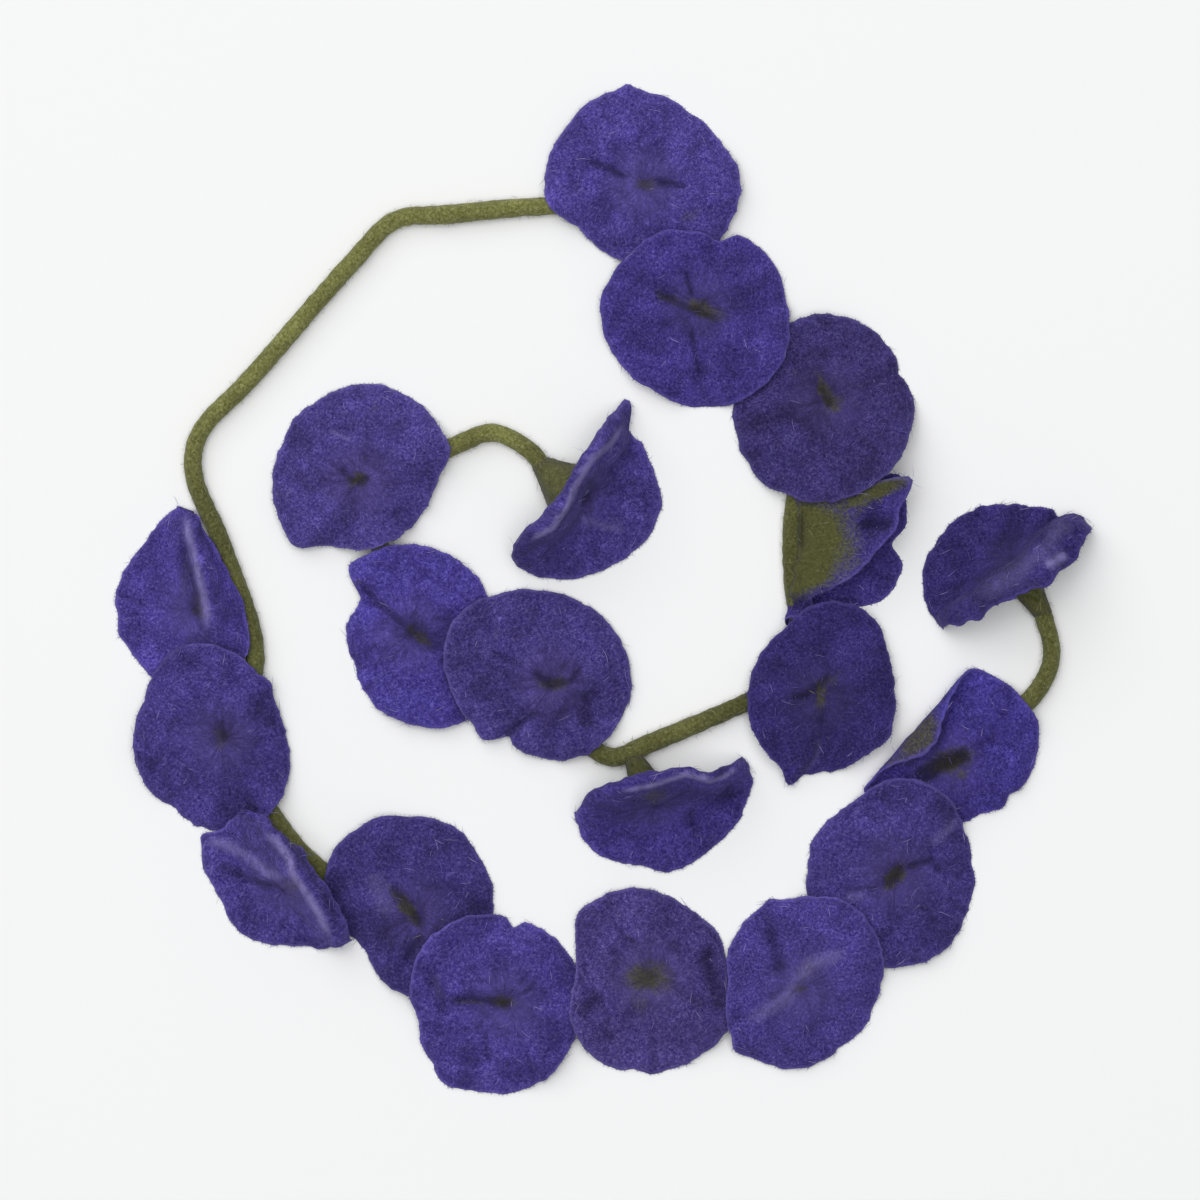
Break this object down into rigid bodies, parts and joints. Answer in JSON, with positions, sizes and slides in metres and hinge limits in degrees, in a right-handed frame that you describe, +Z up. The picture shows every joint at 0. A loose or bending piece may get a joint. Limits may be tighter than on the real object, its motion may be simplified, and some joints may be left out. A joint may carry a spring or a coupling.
{
  "type": "felt flower garland",
  "caption": "Felted wool garland: a green cord vine lying in an open spiral on the floor, with overlapping violet trumpet flowers felted on along its length and at both ends.",
  "frame": {"origin": "middle of the garland's bounding box, on the floor it lies on", "axes": "+Z up from the floor; +X to the right and +Y up the page in the view from above"},
  "size_m": [0.4357, 0.4531, 0.0424],
  "materials": {
    "vine_felt": "matte felted wool",
    "flower_felt": "matte felted wool"
  },
  "bodies": {
    "root": {"vine": "vine_felt", "flower_01": "flower_felt", "flower_02": "flower_felt", "flower_03": "flower_felt", "flower_04": "flower_felt", "flower_05": "flower_felt", "flower_06": "flower_felt", "flower_07": "flower_felt", "flower_08": "flower_felt", "flower_09": "flower_felt", "flower_10": "flower_felt", "flower_11": "flower_felt", "flower_12": "flower_felt", "flower_13": "flower_felt", "flower_14": "flower_felt", "flower_15": "flower_felt", "flower_16": "flower_felt", "flower_17": "flower_felt", "flower_18": "flower_felt", "flower_19": "flower_felt", "flower_20": "flower_felt"}
  },
  "joints": []
}
